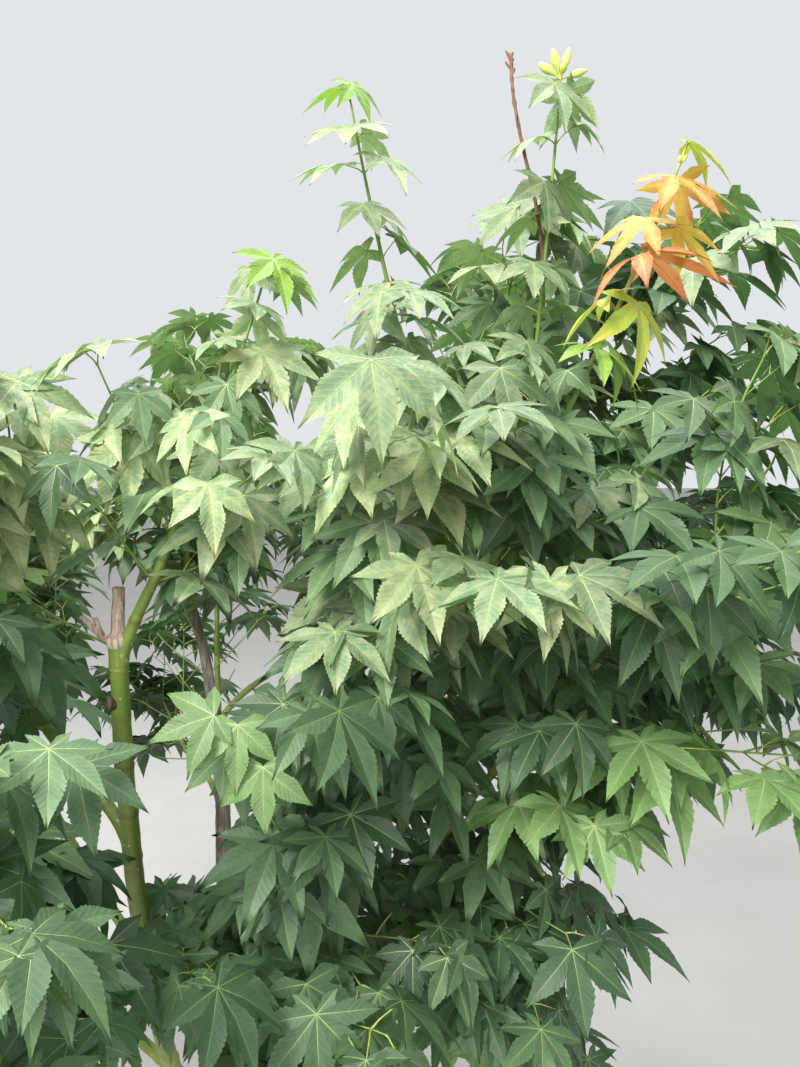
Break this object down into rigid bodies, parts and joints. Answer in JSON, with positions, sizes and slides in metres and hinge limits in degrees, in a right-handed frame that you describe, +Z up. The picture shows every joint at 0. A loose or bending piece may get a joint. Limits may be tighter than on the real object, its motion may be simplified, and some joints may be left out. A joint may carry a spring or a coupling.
{
  "type": "maple tree",
  "caption": "Young Japanese maple rooted in the ground: a short grey trunk that splits into green stems and side boughs, with a rounded open crown of five-pointed leaves.",
  "frame": {"origin": "on the ground, at the middle of the flat cut under the trunk", "axes": "+Z straight up, the pruned stem and the crown's open front towards -Y, the young coloured shoot to the right of it towards +X"},
  "size_m": [1.8598, 1.6521, 1.87],
  "materials": {
    "grey_bark": "matt grey-brown bark, finely cracked",
    "green_bark": "smooth green bark with pale pores and rings",
    "dead_wood": "dry bare wood",
    "green_leaves": "matt green leaf, paler below",
    "young_leaves": "soft young leaf, orange and yellow"
  },
  "bodies": {
    "root": {"bough_back_low": "green_bark", "bough_back_middle": "green_bark", "bough_back_right_low": "green_bark", "bough_front_left_high": "green_bark", "bough_front_left_low": "green_bark", "bough_front_low": "green_bark", "bough_left_back": "green_bark", "bough_left_low": "green_bark", "bough_left_middle": "green_bark", "bough_middle_back": "green_bark", "bough_middle_high": "green_bark", "bough_middle_low": "green_bark", "bough_regrowth": "green_bark", "bough_right_back": "green_bark", "bough_right_front": "green_bark", "bough_right_high": "green_bark", "bough_right_low": "green_bark", "bough_right_middle": "green_bark", "bough_right_skirt": "green_bark", "bough_young_shoot": "green_bark", "dead_stub": "dead_wood", "foliage_back": "green_leaves", "foliage_back_low": "green_leaves", "foliage_back_middle": "green_leaves", "foliage_back_right": "green_leaves", "foliage_back_right_low": "green_leaves", "foliage_crown_middle": "green_leaves", "foliage_front": "green_leaves", "foliage_front_left": "green_leaves", "foliage_front_left_high": "green_leaves", "foliage_front_left_low": "green_leaves", "foliage_front_low": "green_leaves", "foliage_left": "green_leaves", "foliage_left_back": "green_leaves", "foliage_left_low": "green_leaves", "foliage_left_middle": "green_leaves", "foliage_middle_back": "green_leaves", "foliage_middle_high": "green_leaves", "foliage_middle_low": "green_leaves", "foliage_regrowth": "green_leaves", "foliage_right": "green_leaves", "foliage_right_back": "green_leaves", "foliage_right_front": "green_leaves", "foliage_right_high": "green_leaves", "foliage_right_low": "green_leaves", "foliage_right_middle": "green_leaves", "foliage_right_skirt": "green_leaves", "foliage_young_shoot": "young_leaves", "stem_back": "green_bark", "stem_back_right": "green_bark", "stem_front": "green_bark", "stem_front_left": "green_bark", "stem_left": "green_bark", "stem_pruned": "green_bark", "stem_right": "green_bark", "trunk": "grey_bark"}
  },
  "joints": []
}
